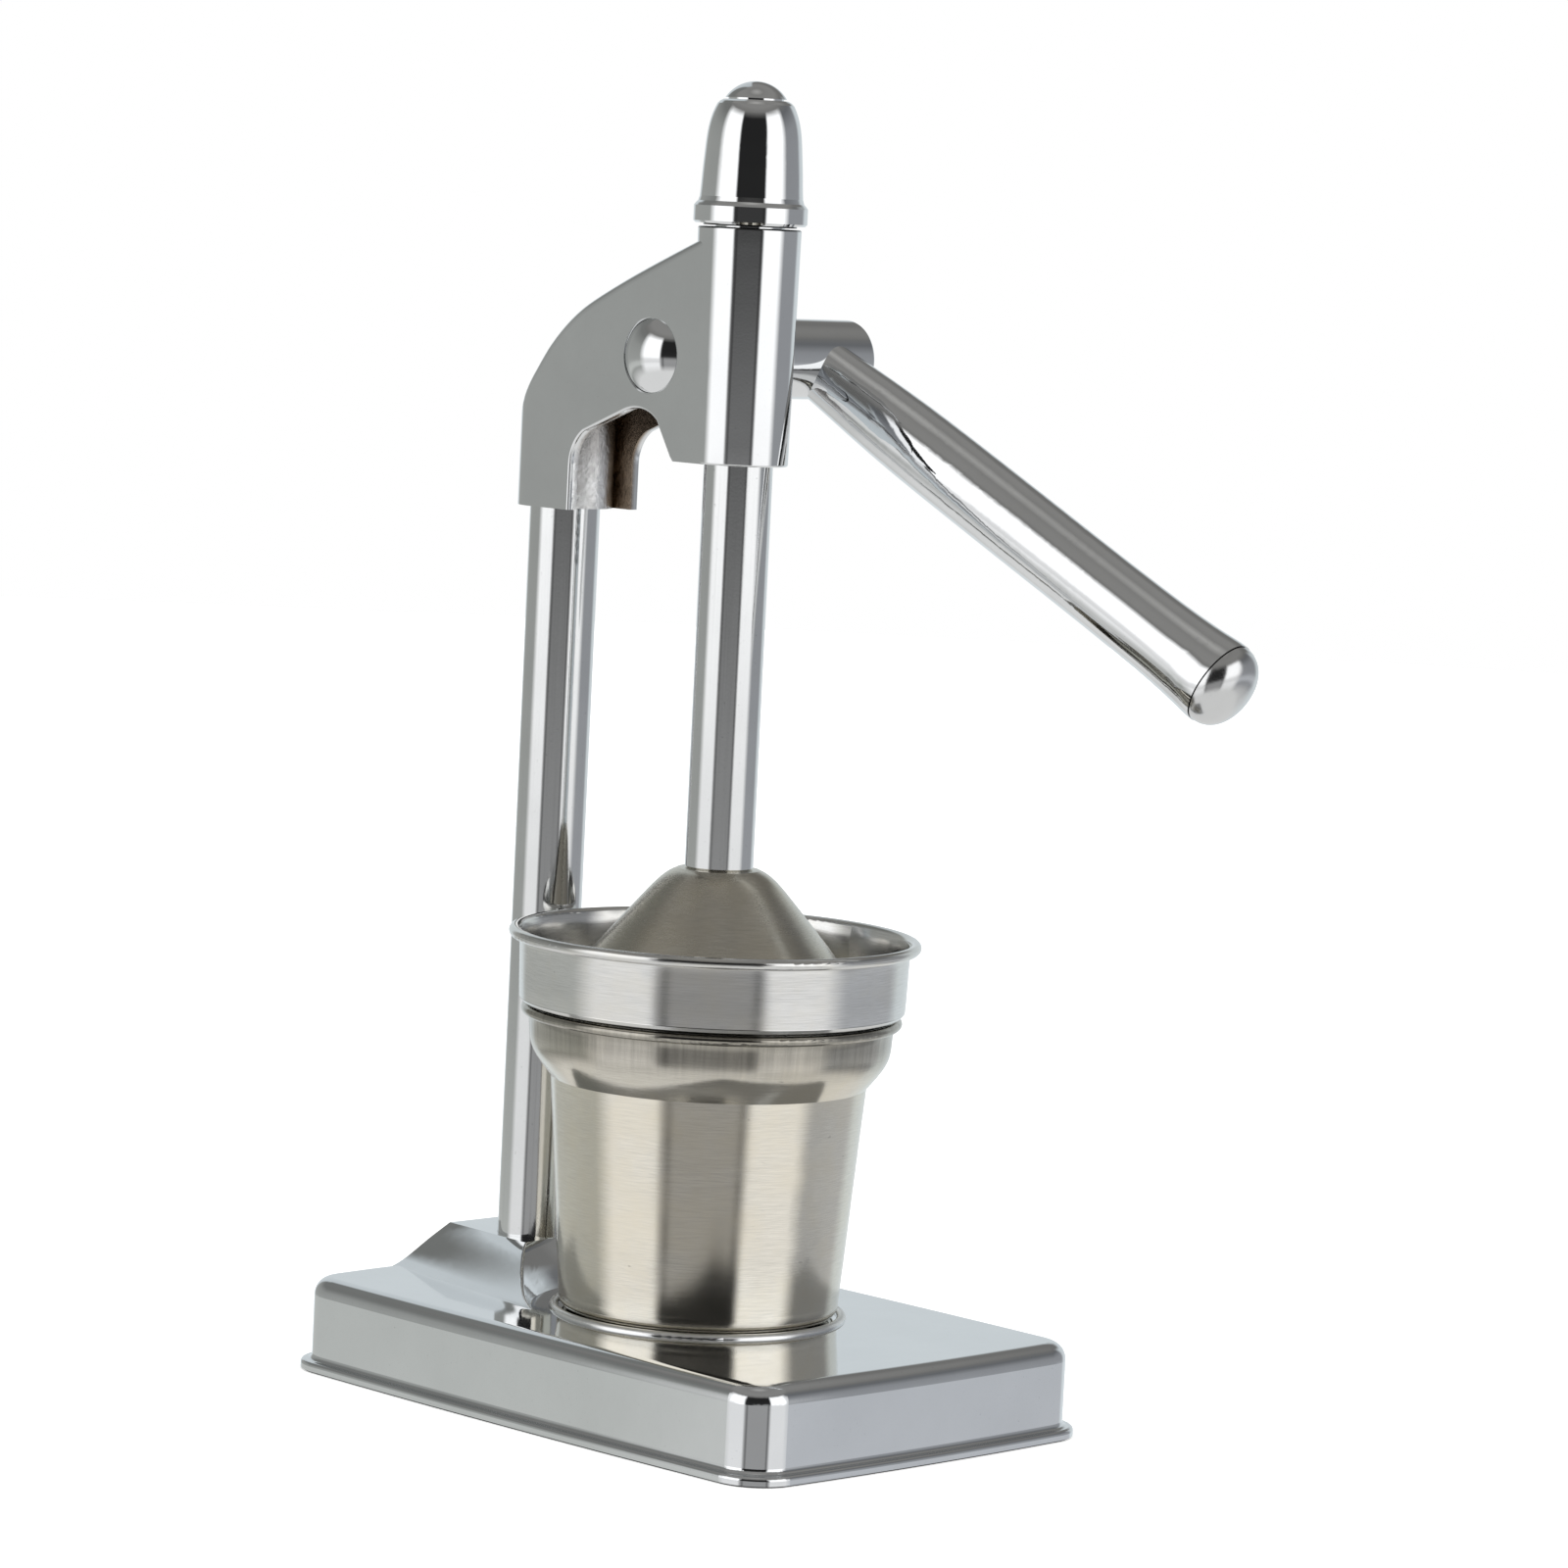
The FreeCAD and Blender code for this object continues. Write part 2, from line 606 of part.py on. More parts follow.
# ================================================================ lever
def lever_frame(shape):
    """Place a shape drawn along +Z from the origin on the lever's axis."""
    c = math.cos(LEVER_DROP)
    axis = V(math.sin(LEVER_SPLAY) * c, -math.cos(LEVER_SPLAY) * c, -math.sin(LEVER_DROP))
    placed = shape.copy()
    turn = FreeCAD.Rotation(Z, axis)
    placed.Placement = FreeCAD.Placement(V(LEVER_X, PIVOT_Y, PIVOT_Z), turn)
    return placed


LEVER_SIDE = [(9.0, 5.0), (9.45, 14.0), (10.15, 27.0), (10.7, 42.0), (10.9, 60.0), (10.95, 90.0),
              (10.95, 118.0), (11.05, 130.0), (11.25, 140.0), (11.6, 148.0), (12.1, 154.5),
              (12.5, 159.0), (12.55, 160.9)]


def pivot_shaft():
    shaft = cyl_x(SHAFT_R, -12.0, 46.0)
    shaft = shaft.makeChamfer(0.6, shaft.Edges[:1] + shaft.Edges[2:3])
    groove = cyl_x(SHAFT_R + 1, -11.2, -10.4).cut(cyl_x(SHAFT_R - 0.6, -12, -10))
    return shaft.cut(groove).cut(key_block(PINION_HALF_W))


def pinion_key():
    return block(-PINION_HALF_W + 0.5, PINION_HALF_W - 0.5, PIVOT_Y - 1.5, PIVOT_Y + 1.5,
                 PIVOT_Z + 3.6, PIVOT_Z + 8.0)


def lever_hub():
    hub = cyl_x(HUB_R, HUB_START, HUB_END)
    far = pick(hub, lambda b: b.XMin > HUB_END - 0.1)
    hub = hub.makeFillet(1.0, far)
    hub = hub.cut(cyl_x(SHAFT_R, HUB_START - 1, 46.0))
    return hub.cut(Part.makeCylinder(2.5, 20, V(HUB_START + 6, PIVOT_Y, PIVOT_Z), V(0, 0, -1)))


def hub_screw():
    screw = Part.makeCylinder(2.5, 5.0, V(HUB_START + 6, PIVOT_Y, PIVOT_Z - SHAFT_R - 0.02), V(0, 0, -1))
    socket = hexagon(2.5, 0, 2.0)
    socket.translate(V(HUB_START + 6, PIVOT_Y, PIVOT_Z - SHAFT_R - 5.1))
    return screw.cut(socket)


def lever_tube():
    outer = [V(r, 0, s) for r, s in LEVER_SIDE]
    inner = [V(r - LEVER_WALL, 0, s) for r, s in LEVER_SIDE][::-1]
    edges = [spline(outer), Part.makeLine(outer[-1], inner[0]), spline(inner)]
    edges.append(Part.makeLine(inner[-1], outer[0]))
    tube = Part.Face(Part.Wire(edges)).revolve(V(0, 0, 0), Z, 360)
    tube = lever_frame(tube)
    return tube.cut(cyl_x(HUB_R, HUB_START, HUB_END))


def lever_end_cap():
    """Domed plug pressed into the flared end of the tube."""
    s = LEVER_SIDE[-1][1] + 0.3
    rows = []
    for i in range(13):
        a = math.radians(7.5 * i)
        rows.append(V(END_R * math.cos(a) ** 0.8, 0, s + END_H * math.sin(a) ** 0.95))
    rows[-1] = V(0, 0, s + END_H)
    foot, heel = V(END_PLUG_R, 0, s), V(END_PLUG_R, 0, s - 5.5)
    edges = [spline(rows), Part.makeLine(rows[-1], V(0, 0, s - 5.5)), Part.makeLine(V(0, 0, s - 5.5), heel)]
    edges += [Part.makeLine(heel, foot), Part.makeLine(foot, rows[0])]
    return lever_frame(Part.Face(Part.Wire(edges)).revolve(V(0, 0, 0), Z, 360))


# ================================================================ vessels
# Outer sides as runs of (r, z); two runs meet at a crease.
CUP_SIDE = [
    [(52.4, 111.4), (51.2, 108.6), (50.8, 104.0), (50.1, 100.6), (48.2, 97.2), (45.9, 94.2), (44.4, 92.4)],
    [(44.4, 92.4), (43.75, 85.0), (42.7, 72.0), (41.6, 58.0), (40.5, 44.0), (39.5, 32.0)],
    [(39.5, 32.0), (39.1, 29.2), (38.2, 27.7), (36.0, 27.3), (34.0, 27.3)],
]


def juice_cup():
    """Brushed sheet cup with a beaded rim and a shoulder; its foot sits in the bead ring."""
    side = sheet_turned(CUP_SIDE, -CUP_SHEET)
    r, z = CUP_SIDE[-1][-1]
    ri, zi = r, z + CUP_SHEET
    floor = turned([(0, z + 1.0), (30.0, z + 1.0), (r, z), (ri, zi), (30.0, z + 1.0 + CUP_SHEET),
                    (0, z + 1.0 + CUP_SHEET)])
    body = side.fuse(floor)
    return body.fuse(bead(52.0, 1.45, 110.9)).removeSplitter()


BOWL_SIDE = [
    [(55.3, 132.6), (54.9, 131.2), (54.65, 129.0), (54.45, 123.0), (54.25, 117.0), (54.1, 114.4)],
]
BOWL_FLOOR_Z = 113.2


def strainer_bowl():
    """Bowl that nests on the cup, with a pierced floor round the reamer."""
    wall = sheet_turned(BOWL_SIDE, -BOWL_SHEET)
    body = wall.fuse(bead(56.2, 1.6, 132.5))
    z = BOWL_FLOOR_Z
    floor = turned([(33.0, z), (53.3, z), (54.1, z + 1.0), (53.9, z + 1.8), (53.0, z + BOWL_SHEET),
                    (33.0, z + BOWL_SHEET)])
    body = body.fuse(floor)
    collar = turned([(47.6, z + 0.3), (48.5, z + 0.3), (48.3, z - 7.5), (47.4, z - 7.5)])
    body = body.fuse(collar)
    holes = []
    for ring_r, count in ((36.0, 36), (40.2, 40), (44.4, 44)):
        for i in range(count):
            a = 2 * math.pi * i / count
            holes.append(cyl(1.1, z - 2, z + 3, ring_r * math.cos(a), RAM_Y + ring_r * math.sin(a)))
    return body.cut(Part.makeCompound(holes)).removeSplitter()


REAMER_SIDE = [(1.2, 146.0), (5.0, 145.0), (9.5, 142.4), (15.0, 137.6), (20.5, 131.4), (25.5, 124.4),
               (29.6, 118.0), (31.6, 114.6)]


def reamer_cone():
    """Ribbed reamer over the pierced floor, hollow below."""
    body = sheet_turned([REAMER_SIDE], -1.4)
    body = body.fuse(cyl(2.4, 143.9, 146.2, 0, RAM_Y))
    z = BOWL_FLOOR_Z + BOWL_SHEET
    body = body.fuse(turned([(29.5, z), (34.0, z), (34.0, z + 1.0), (31.2, z + 1.2), (29.5, z + 1.2)]))
    body = body.fuse([reamer_rib(30.0 * i) for i in range(12)])
    return body.removeSplitter()


def reamer_rib(turn):
    """One round-topped rib down the side of the reamer."""
    crest = offset_points(REAMER_SIDE[1:-1], 1.7)
    foot = offset_points(REAMER_SIDE[1:-1], -0.6)
    outline_pts = crest + foot[::-1]
    wire = polygon([V(r, -1.2, z) for r, z in outline_pts])
    rib = Part.Face(wire).extrude(V(0, 2.4, 0))
    ridge = pick(rib, lambda b: b.YLength < 0.1 and b.XLength > 3 and b.ZLength > 0.5)
    ridge = [e for e in ridge if any(abs(e.Vertexes[0].X - r) < 0.01 for r, z in crest)]
    rib = rib.makeFillet(0.8, ridge)
    rib.rotate(V(0, 0, 0), Z, turn)
    rib.translate(V(0, RAM_Y, 0))
    return rib


# ================================================================ export
PARTS = {
    "base_shell": base_shell,
    "rim_strip": rim_strip,
    "stiffener": stiffener,
    "column_tube": column_tube,
    "column_plug": column_plug,
    "column_washer": column_washer,
    "column_bolt": column_bolt,
    "head_casting": head_casting,
    "head_set_screws": set_screws,
    "guide_bush_lower": lambda: guide_bush(265.4, 280.0),
    "guide_bush_upper": lambda: guide_bush(307.4, 330.2),
    "pivot_bush_left": lambda: pivot_bush(-HEAD_HALF_W + 1.2, -9.4, -10.4, -9.4),
    "pivot_bush_right": lambda: pivot_bush(9.4, HEAD_HALF_W, 9.4, 10.4),
    "pivot_cap": pivot_cap,
    "pivot_shaft": pivot_shaft,
    "pinion_key": pinion_key,
    "drive_pinion": drive_pinion,
    "lever_hub": lever_hub,
    "hub_screw": hub_screw,
    "lever_tube": lever_tube,
    "lever_end_cap": lever_end_cap,
    "ram_bar": ram_bar,
    "top_cap": top_cap,
    "cap_button": cap_button,
    "cap_stud": cap_stud,
    "press_cone": press_cone,
    "cone_washer": cone_washer,
    "cone_screw": cone_screw,
    "juice_cup": juice_cup,
    "strainer_bowl": strainer_bowl,
    "reamer_cone": reamer_cone,
}

for node, build in PARTS.items():
    save(build(), node)
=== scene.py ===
import json
import math

import bpy
from mathutils import Matrix, Vector


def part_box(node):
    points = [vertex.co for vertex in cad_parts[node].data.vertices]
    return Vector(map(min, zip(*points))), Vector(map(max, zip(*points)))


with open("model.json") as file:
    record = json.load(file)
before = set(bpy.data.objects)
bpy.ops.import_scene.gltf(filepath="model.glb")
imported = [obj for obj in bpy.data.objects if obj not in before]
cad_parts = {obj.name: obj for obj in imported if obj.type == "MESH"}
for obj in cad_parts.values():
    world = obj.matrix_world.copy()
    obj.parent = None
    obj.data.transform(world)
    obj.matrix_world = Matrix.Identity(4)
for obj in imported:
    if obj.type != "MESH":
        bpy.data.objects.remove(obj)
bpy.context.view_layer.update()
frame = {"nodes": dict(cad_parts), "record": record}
nodes = frame["nodes"]

cup_low, cup_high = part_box("juice_cup")
head_low, head_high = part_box("head_casting")
RAM_Y = (cup_low.y + cup_high.y) / 2    # axis of the ram, the bowl and the cup
COLUMN_Y = sum(corner.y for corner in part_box("column_tube")) / 2
GUIDE_TOP = head_high.z
CAP_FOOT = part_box("top_cap")[0].z
HEAD_FOOT = head_low.z
CUP_RIM = cup_high.z
CAMERA_PLACE = Vector((-1.1484, -1.1791, 0.3396))
CAMERA_TURN = (45.05, -5.666, 2.847)    # yaw from +X, pitch, roll, degrees
CAMERA_LENS = 135.8
STUDIO_TURN = 135.0             # turns the studio so that its middle lies behind the camera, degrees
FLOOR_R = 3.0
FLOOR_SIDES = 96
PALE_FLOOR = (0.80, 0.80, 0.79)
NEAR_BLACK = (0.02, 0.02, 0.02)
WARM = (1.0, 0.97, 0.90)
ALONG_Z = (900.0, 900.0, 14.0)  # stretches noise into marks along an upright tube
WHITE = (1.0, 1.0, 1.0)
BLACK = (0.0, 0.0, 0.0)


# ---------------------------------------------------------------- camera and stage
def look_from(place, yaw, pitch, roll, lens):
    """Camera at place, looking along yaw (from +X) and pitch, leaning by roll, in degrees."""
    y, p, r = (math.radians(a) for a in (yaw, pitch, roll))
    ahead = Vector((math.cos(p) * math.cos(y), math.cos(p) * math.sin(y), math.sin(p)))
    right = ahead.cross(Vector((0, 0, 1))).normalized()
    up = right.cross(ahead)
    cam_right = right * math.cos(r) + up * math.sin(r)
    cam_up = up * math.cos(r) - right * math.sin(r)
    data = bpy.data.cameras.new("camera")
    data.lens = lens
    data.sensor_width = 36.0
    data.clip_start, data.clip_end = 0.05, 60.0
    cam = bpy.data.objects.new("camera", data)
    bpy.context.scene.collection.objects.link(cam)
    turn = Matrix((cam_right, cam_up, -ahead)).transposed().to_4x4()
    cam.matrix_world = Matrix.Translation(place) @ turn
    bpy.context.scene.camera = cam


class Tree:
    """Small helper for building node trees."""

    def __init__(self, tree):
        self.tree = tree
        self.tree.nodes.clear()

    def add(self, kind, **values):
        node = self.tree.nodes.new(kind)
        for key, value in values.items():
            setattr(node, key, value)
        return node

    def link(self, a, b):
        self.tree.links.new(a, b)

    def math(self, op, a, b=None):
        node = self.add("ShaderNodeMath", operation=op)
        for i, value in enumerate(v for v in (a, b) if v is not None):
            if isinstance(value, (int, float)):
                node.inputs[i].default_value = value
            else:
                self.link(value, node.inputs[i])
        return node.outputs[0]

    def scaled(self, a, by, plus=0.0):
        out = self.math("MULTIPLY_ADD", a, by)
        out.node.inputs[2].default_value = plus
        return out

    def ramp(self, fac, stops):
        node = self.add("ShaderNodeValToRGB")
        ramp = node.color_ramp.elements
        while len(ramp) < len(stops):
            ramp.new(0.5)
        for item, (pos, colour) in zip(ramp, stops):
            item.position = pos
            item.color = (*colour, 1.0)
        self.link(fac, node.inputs[0])
        return node.outputs[0]

    def mix(self, fac, a, b):
        node = self.add("ShaderNodeMix", data_type="RGBA")
        for socket, value in ((node.inputs[0], fac), (node.inputs[6], a), (node.inputs[7], b)):
            if isinstance(value, (int, float)):
                socket.default_value = value
            elif isinstance(value, tuple):
                socket.default_value = (*value, 1.0)
            else:
                self.link(value, socket)
        return node.outputs[2]

    def noise(self, vector, scale, detail=3.0, rough=0.5):
        node = self.add("ShaderNodeTexNoise")
        node.inputs["Scale"].default_value = scale
        node.inputs["Detail"].default_value = detail
        node.inputs["Roughness"].default_value = rough
        self.link(vector, node.inputs["Vector"])
        return node.outputs["Fac"]

    def split(self, vector):
        node = self.add("ShaderNodeSeparateXYZ")
        self.link(vector, node.inputs[0])
        return node.outputs

    def vector(self, op, a, b):
        node = self.add("ShaderNodeVectorMath", operation=op)
        self.link(a, node.inputs[0])
        if isinstance(b, tuple):
            node.inputs[1].default_value = b
        elif b is not None:
            self.link(b, node.inputs[1])
        return node.outputs[0]


def new_material(name):
    mat = bpy.data.materials.new(name)
    mat.use_nodes = True
    t = Tree(mat.node_tree)
    shade = t.add("ShaderNodeBsdfPrincipled")
    out = t.add("ShaderNodeOutputMaterial")
    t.link(shade.outputs[0], out.inputs[0])
    return mat, t, shade


def studio_world():
    """Soft studio: a dim middle, two tall white panels, grey sides, a pale back, a dim ceiling.

    The floor and everything the camera sees directly is plain white or pale.
    """
    world = bpy.data.worlds.new("studio")
    world.use_nodes = True
    bpy.context.scene.world = world
    t = Tree(world.node_tree)
    coords = t.add("ShaderNodeTexCoord")
    spin = t.add("ShaderNodeVectorRotate", rotation_type="Z_AXIS")
    spin.inputs["Angle"].default_value = math.radians(STUDIO_TURN)
    t.link(coords.outputs["Generated"], spin.inputs["Vector"])
    x, y, z = t.split(spin.outputs[0])
    turn = t.scaled(t.math("ARCTAN2", y, x), 0.5 / math.pi, 0.5)
    rise = t.scaled(t.math("ARCSINE", z), 1.0 / math.pi, 0.5)

    def grey(*pairs, tint=WHITE):
        """Ramp over elevation from (degrees, brightness) pairs."""
        return t.ramp(rise, [(0.5 + e / 180.0, tuple(v * c for c in tint)) for e, v in pairs])

    def within(*pairs):
        """Ramp round the horizon from (degrees, amount) pairs."""
        return t.ramp(turn, [(0.5 + a / 360.0, (v, v, v)) for a, v in pairs])

    back = grey((-12, 0.80), (4, 0.72), (16, 0.70), (34, 0.66), (50, 0.62), tint=(0.93, 1.0, 1.03))
    left = grey((-30, 0.38), (-19, 0.40), (-15, 0.60), (-11, 0.56), (-8, 0.42), (-5, 0.38),
                (0, 0.37), (14, 0.33), (30, 0.20), tint=(0.985, 1.01, 0.97))
    right = grey((-30, 0.32), (-19, 0.34), (-15, 0.60), (-11, 0.56), (-8, 0.40), (-4, 0.34),
                 (0, 0.33), (14, 0.30), (30, 0.16), tint=(0.97, 1.0, 1.05))
    white = grey((-30, 1.04), (-16, 1.04), (-12, 0.86), (-9, 0.90), (-6, 0.97), (-4, 1.20),
                 (0, 1.40), (34, 1.40))
    centre = grey((-24, 0.34), (-8.5, 0.36), (-4.5, 0.25), (-2.6, 0.14), (-1.2, 0.06),
                  (1.5, 0.025), (12, 0.02))

    # Degrees round from the camera's side: negative is the picture's left.
    colour = t.mix(within((-156, 0), (-148, 1), (-60, 1), (0, 0)), back, left)
    colour = t.mix(within((0, 0), (60, 1), (130, 1), (142, 0)), colour, right)
    colour = t.mix(within((-90, 0), (-74, 1), (72, 1), (86, 0)), colour, white)
    colour = t.mix(within((-37, 0), (-32, 1), (30, 1), (35, 0)), colour, centre)
    lines = within((-31, 0), (-29, 0.5), (-27, 0.5), (-24, 0),
                   (24, 0), (26, 0.5), (28, 0.5), (30, 0))
    colour = t.mix(lines, colour, NEAR_BLACK)
    ceiling = grey((38, 0.19), (50, 0.27), (62, 0.27), (75, 0.25), (88, 0.42), tint=(1.0, 0.985, 0.95))
    # Behind the object the ceiling comes 17 degrees lower on the right and starts 22 higher on the left.
    lower = t.scaled(within((-180, 1), (-170, 0), (125, 0), (150, 1)), 17.0 / 180.0)
    higher = t.scaled(within((-176, 0), (-164, 1), (-134, 1), (-118, 0)), -22.0 / 180.0)
    edge = t.math("ADD", rise, t.math("ADD", lower, higher))
    lid = t.ramp(edge, [(0.5 + 32 / 180, BLACK), (0.5 + 42 / 180, WHITE)])
    colour = t.mix(lid, colour, ceiling)
    colour = t.mix(grey((-34, 1.0), (-20, 0.0)), colour, PALE_FLOOR)
    seen = t.add("ShaderNodeLightPath").outputs["Is Camera Ray"]
    colour = t.mix(seen, colour, WHITE)
    shade = t.add("ShaderNodeBackground")
    t.link(colour, shade.inputs[0])
    out = t.add("ShaderNodeOutputWorld")
    t.link(shade.outputs[0], out.inputs[0])


def floor():
    """Plain pale floor that glows a little, so that it stays even. Chrome doesn't show it."""
    mesh = bpy.data.meshes.new("floor")
    angles = [i * math.tau / FLOOR_SIDES for i in range(FLOOR_SIDES)]
    corners = [(math.cos(a) * FLOOR_R, math.sin(a) * FLOOR_R, 0.0) for a in angles]
    mesh.from_pydata(corners, [], [tuple(range(FLOOR_SIDES))])
    obj = bpy.data.objects.new("floor", mesh)
    bpy.context.scene.collection.objects.link(obj)
    obj.visible_glossy = False
    mat, t, shade = new_material("floor")
    shade.inputs["Base Color"].default_value = (0.9, 0.9, 0.9, 1)
    shade.inputs["Roughness"].default_value = 0.95
    shade.inputs["Specular IOR Level"].default_value = 0.0
    shade.inputs["Emission Color"].default_value = (1, 1, 1, 1)
    shade.inputs["Emission Strength"].default_value = 0.4
    mesh.materials.append(mat)


def overhead():
    """Wide soft light from above that chrome doesn't show."""
    data = bpy.data.lights.new("overhead", "SUN")
    data.energy = 2.2
    data.angle = math.radians(100)
    obj = bpy.data.objects.new("overhead", data)
    bpy.context.scene.collection.objects.link(obj)
    obj.visible_glossy = False


look_from(CAMERA_PLACE, *CAMERA_TURN, CAMERA_LENS)
studio_world()
floor()
overhead()
bpy.context.scene.view_settings.view_transform = "Standard"


# ---------------------------------------------------------------- materials
def object_coords(t):
    return t.add("ShaderNodeTexCoord").outputs["Object"]


def stretched(t, scale):
    return t.vector("MULTIPLY", object_coords(t), scale)


def round_coords(t, along, around):
    """Coordinates stretched round the ram's axis, for marks left by turning or spinning."""
    shift = t.vector("SUBTRACT", object_coords(t), (0, RAM_Y, 0))
    unit = t.vector("NORMALIZE", t.vector("MULTIPLY", shift, (1, 1, 0)), None)
    wide = t.vector("SCALE", unit, None)
    wide.node.inputs["Scale"].default_value = around
    return t.vector("ADD", wide, t.vector("MULTIPLY", shift, (0, 0, along)))


def bump(t, height, strength, distance, under=None):
    node = t.add("ShaderNodeBump")
    node.inputs["Strength"].default_value = strength
    node.inputs["Distance"].default_value = distance
    t.link(height, node.inputs["Height"])
    if under is not None:
        t.link(under, node.inputs["Normal"])
    return node.outputs[0]


def map_range(t, fac, low, high, start=0.0, stop=1.0):
    node = t.add("ShaderNodeMapRange")
    for key, value in (("From Min", start), ("From Max", stop), ("To Min", low), ("To Max", high)):
        node.inputs[key].default_value = value
    t.link(fac, node.inputs["Value"])
    return node.outputs[0]


def shades(colour, depth):
    return tuple(c * depth for c in colour)


def chrome(name, colour=(0.80, 0.81, 0.82), rough=(0.02, 0.07), wave=0.05, wave_scale=40.0,
           pits=0.2, streak=None, rough_patch_with_painted_light=None, dulling=0.1, lumpy=0.55, joint_shadow=None):
    """Bright plating: faint smears and waves, fine pits, and on tubes faint marks along them.

    aged gives a mask and colour for a rougher area, with painted shade in the casting's hollow and a
    painted reflection on the base's ring. seam is the height range of a painted shadow line at a joint.
    """
    mat, t, shade = new_material(name)
    shade.inputs["Metallic"].default_value = 1.0
    pos = object_coords(t)
    smear = t.noise(pos, 38.0, 5.0, 0.62)
    grain = t.noise(pos, 1300.0, 3.0, 0.6)
    speck = map_range(t, grain, 0.0, 1.0, 0.68, 0.74)
    tone = t.ramp(smear, [(0.30, shades(colour, 0.94)), (0.70, colour)])
    tone = t.mix(t.scaled(speck, pits), tone, shades(colour, 0.35))
    spread = map_range(t, smear, rough[0], rough[1], 0.3, 0.75)
    spread = t.math("ADD", spread, t.scaled(speck, 0.25 * pits))
    if streak:
        marks = t.noise(stretched(t, streak), 1.0, 4.0, 0.65)
        spread = t.math("ADD", spread, map_range(t, marks, 0.0, 0.10, 0.45, 0.75))
        tone = t.mix(map_range(t, marks, 0.0, 0.12, 0.5, 0.8), tone, shades(colour, 0.6))
    normal = bump(t, t.noise(pos, wave_scale, 1.5), wave, 0.0008)
    normal = bump(t, grain, 0.05 + 0.2 * pits, 0.00002, normal)
    if joint_shadow:
        # painted shadow: a near-black band at the joint, where the cap meets the guide
        tone = t.mix(map_range(t, t.split(pos)[2], 0.0, 1.0, *joint_shadow), tone, NEAR_BLACK)
    if rough_patch_with_painted_light:
        # painted light: the patch's colour carries painted shade in the casting's hollow and a painted
        # reflection on the base's ring
        inside, patch_tone_with_painted_light = rough_patch_with_painted_light(t)
        tone = t.mix(inside, tone, patch_tone_with_painted_light)
        spread = t.math("ADD", spread, t.scaled(inside, dulling))
        lumps = t.noise(pos, 420.0, 5.0, 0.7)
        normal = bump(t, t.math("MULTIPLY", lumps, inside), lumpy, 0.0006, normal)
    t.link(tone, shade.inputs["Base Color"])
    t.link(spread, shade.inputs["Roughness"])
    t.link(normal, shade.inputs["Normal"])
    return mat


def casting_hollow(t):
    """Where the casting is left rough, between its plates, with painted shade darker higher up. Returns
    (mask, colour).
    """
    x, y, z = t.split(object_coords(t))
    across = map_range(t, t.math("ABSOLUTE", x), 1.0, 0.0, 0.0108, 0.0122)
    behind = map_range(t, y, 0.0, 1.0, RAM_Y + 0.0144, RAM_Y + 0.0150)
    before = map_range(t, y, 1.0, 0.0, COLUMN_Y + 0.0006, COLUMN_Y + 0.0026)
    below = map_range(t, z, 1.0, 0.0, HEAD_FOOT + 0.0415, HEAD_FOOT + 0.0455)
    mask = t.math("MULTIPLY", t.math("MULTIPLY", across, behind), t.math("MULTIPLY", before, below))
    far = map_range(t, x, 0.0, 1.0, 0.0060, 0.0095)
    # Blotches that set the casting's tone and break up the painted shade.
    rust_and_shade_blotch = t.noise(object_coords(t), 160.0, 5.0, 0.65)
    warm = t.ramp(rust_and_shade_blotch, [(0.3, (0.26, 0.20, 0.15)), (0.7, (0.46, 0.38, 0.30))])
    cast = t.ramp(rust_and_shade_blotch, [(0.3, (0.70, 0.69, 0.68)), (0.6, (0.95, 0.95, 0.95))])
    higher = map_range(t, z, 0.0, 1.0, HEAD_FOOT + 0.0075, HEAD_FOOT + 0.0215)
    # painted shade: darker higher up inside the hollow
    painted_hollow_shade = t.math("MULTIPLY", higher, map_range(t, rust_and_shade_blotch, 0.25, 0.65))
    return mask, t.mix(painted_hollow_shade, t.mix(far, cast, warm), (0.12, 0.085, 0.06))


def seat_ring(t):
    """The raised ring of the base where the cup sits: rougher, and painted paler than the plating as a
    painted reflection. Returns (mask, colour).
    """
    x, y, z = t.split(object_coords(t))
    y = t.math("SUBTRACT", y, RAM_Y)
    away = t.math("SQRT", t.math("ADD", t.math("MULTIPLY", x, x), t.math("MULTIPLY", y, y)))
    outside = map_range(t, away, 0.0, 1.0, 0.0388, 0.0394)
    inside = map_range(t, away, 1.0, 0.0, 0.0417, 0.0422)
    above = map_range(t, z, 0.0, 1.0, cup_low.z - 0.00069, cup_low.z - 0.00029)
    mask = t.math("MULTIPLY", t.math("MULTIPLY", outside, inside), above)
    sheen_blotch = t.noise(object_coords(t), 120.0, 4.0, 0.6)
    # painted reflection: the ring is paler than the plating around it
    return mask, t.ramp(sheen_blotch, [(0.3, (0.78, 0.78, 0.76)), (0.7, (0.96, 0.96, 0.95))])


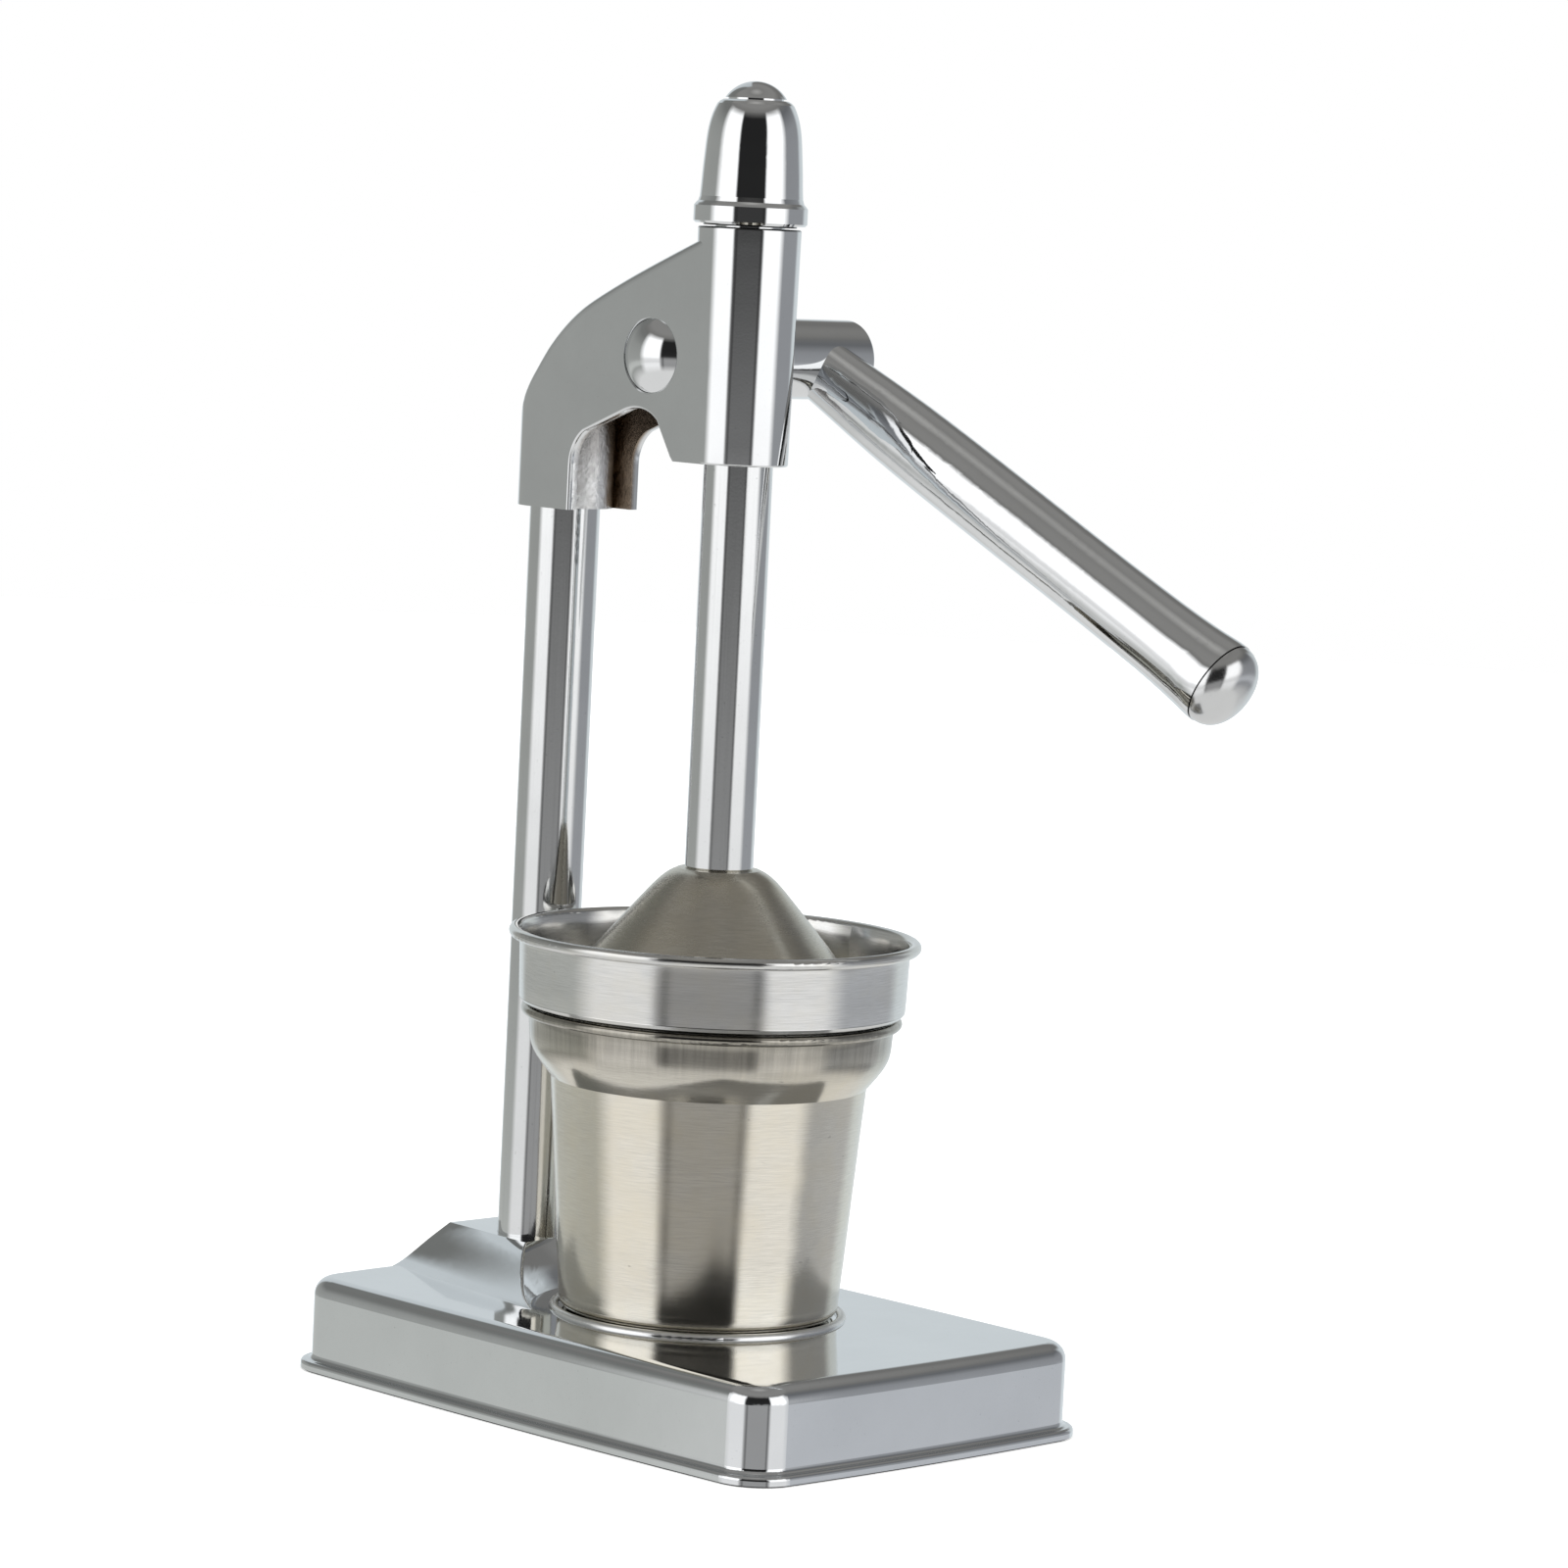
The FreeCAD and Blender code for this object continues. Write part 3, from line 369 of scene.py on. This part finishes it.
def brushed(name, colour, rough, lines=5200.0, depth=0.25, aniso=0.6, draw=None):
    """Sheet steel polished round its axis: fine rings, soft bands, warm stains, nicks.

    draw is the height range over which the marks of deep drawing come in, under a rim.
    """
    mat, t, shade = new_material(name)
    shade.inputs["Metallic"].default_value = 1.0
    shade.inputs["Anisotropic"].default_value = aniso
    shade.inputs["Anisotropic Rotation"].default_value = 0.25
    grain = t.noise(round_coords(t, lines, 6.0), 1.0, 4.0, 0.7)
    bands = t.noise(round_coords(t, 90.0, 1.3), 1.0, 3.0)
    mottle = t.noise(object_coords(t), 45.0, 5.0, 0.65)
    fine = t.ramp(grain, [(0.30, shades(colour, 0.80)), (0.62, colour)])
    stain = tuple(c * w for c, w in zip(shades(colour, 0.95), WARM))
    tone = t.mix(map_range(t, mottle, 0.0, 0.8, 0.42, 0.70), fine, stain)
    nick = map_range(t, t.noise(stretched(t, (260.0, 260.0, 900.0)), 1.0, 2.0), 0.0, 0.5, 0.74, 0.80)
    tone = t.mix(nick, tone, shades(colour, 0.4))
    spread = t.math("ADD", t.math("MULTIPLY", grain, 0.4), t.math("MULTIPLY", bands, 0.6))
    spread = map_range(t, spread, rough[0], rough[1], 0.3, 0.7)
    normal = bump(t, grain, depth, 0.00003)
    normal = bump(t, t.noise(object_coords(t), 55.0, 2.0), 0.05, 0.0008, normal)
    if draw:
        reach = map_range(t, t.split(object_coords(t))[2], 0.0, 1.0, *draw)
        marks = t.noise(round_coords(t, 30.0, 26.0), 1.0, 5.0, 0.65)
        shade_in = t.math("MULTIPLY", reach, map_range(t, marks, 0.55, 0.95, 0.25, 0.75))
        tone = t.mix(shade_in, tone, shades(colour, 0.36))
    t.link(tone, shade.inputs["Base Color"])
    t.link(spread, shade.inputs["Roughness"])
    t.link(normal, shade.inputs["Normal"])
    tangent = t.add("ShaderNodeTangent", direction_type="RADIAL", axis="Z")
    t.link(tangent.outputs[0], shade.inputs["Tangent"])
    return mat


def grained(name, colour, rough, metallic, scale=400.0, depth=0.3):
    """Machined, blackened or moulded surfaces that hardly show."""
    mat, t, shade = new_material(name)
    shade.inputs["Metallic"].default_value = metallic
    pos = object_coords(t)
    grain = t.noise(pos, scale, 4.0, 0.6)
    t.link(t.ramp(grain, [(0.3, shades(colour, 0.72)), (0.7, colour)]), shade.inputs["Base Color"])
    t.link(map_range(t, grain, rough * 0.8, rough * 1.25), shade.inputs["Roughness"])
    t.link(bump(t, grain, depth, 0.0001), shade.inputs["Normal"])
    return mat


SLOTS = {
    "chrome": chrome("chrome_bright"),
    "brushed_steel": brushed("cup_brushed", (0.77, 0.735, 0.655), (0.11, 0.20), aniso=0.65,
                             draw=(CUP_RIM - 0.01535, CUP_RIM - 0.00635)),
    "satin_steel": brushed("steel_satin", (0.75, 0.75, 0.74), (0.11, 0.21), aniso=0.7),
    "plain_steel": grained("steel_machined", (0.50, 0.50, 0.51), 0.32, 1.0),
    "black_steel": grained("steel_black", (0.06, 0.06, 0.065), 0.45, 0.6),
    "bronze": grained("bronze_bush", (0.60, 0.42, 0.22), 0.38, 1.0),
    "black_rubber": grained("rubber", (0.03, 0.03, 0.03), 0.7, 0.0, 1500.0, 0.5),
}
tube = chrome("chrome_tube", (0.77, 0.78, 0.785), (0.05, 0.10), wave=0.04, wave_scale=30.0,
              pits=0.5, streak=ALONG_Z)

# Pieces whose plating or polish differs from the rest of their slot.
OWN = {
    # painted reflection: the cup's ring on base_shell is painted paler
    "base_shell": chrome("chrome_pressed", (0.80, 0.815, 0.83), (0.03, 0.09), wave=0.09, wave_scale=22.0,
                         pits=0.25, rough_patch_with_painted_light=seat_ring, dulling=0.3, lumpy=0.04),
    # painted shade: head_casting's hollow darkens higher up; painted shadow: a near-black band at the
    # guide's top
    "head_casting": chrome("chrome_cast", wave_scale=30.0, rough_patch_with_painted_light=casting_hollow,
                           joint_shadow=(GUIDE_TOP - 0.00045, GUIDE_TOP - 0.00035)),
    # painted shadow: a near-black band at the foot of top_cap
    "top_cap": chrome("chrome_cap", joint_shadow=(CAP_FOOT + 0.00045, CAP_FOOT + 0.00035)),
    "column_tube": tube,
    "ram_bar": tube,
    "lever_tube": chrome("chrome_lever", wave=0.16, wave_scale=48.0, pits=0.3),
    "lever_end_cap": chrome("chrome_satin", (0.72, 0.725, 0.73), (0.12, 0.22), wave=0.12, wave_scale=150.0,
                            pits=0.4),
    "press_cone": brushed("cone_spun", (0.66, 0.63, 0.555), (0.20, 0.32), 3600.0, 0.35),
}

slots = {s["node"]: s["material_slot"] for s in frame["record"]["subparts"]}
for name, obj in nodes.items():
    obj.data.materials.clear()
    obj.data.materials.append(OWN.get(name, SLOTS[slots[name]]))
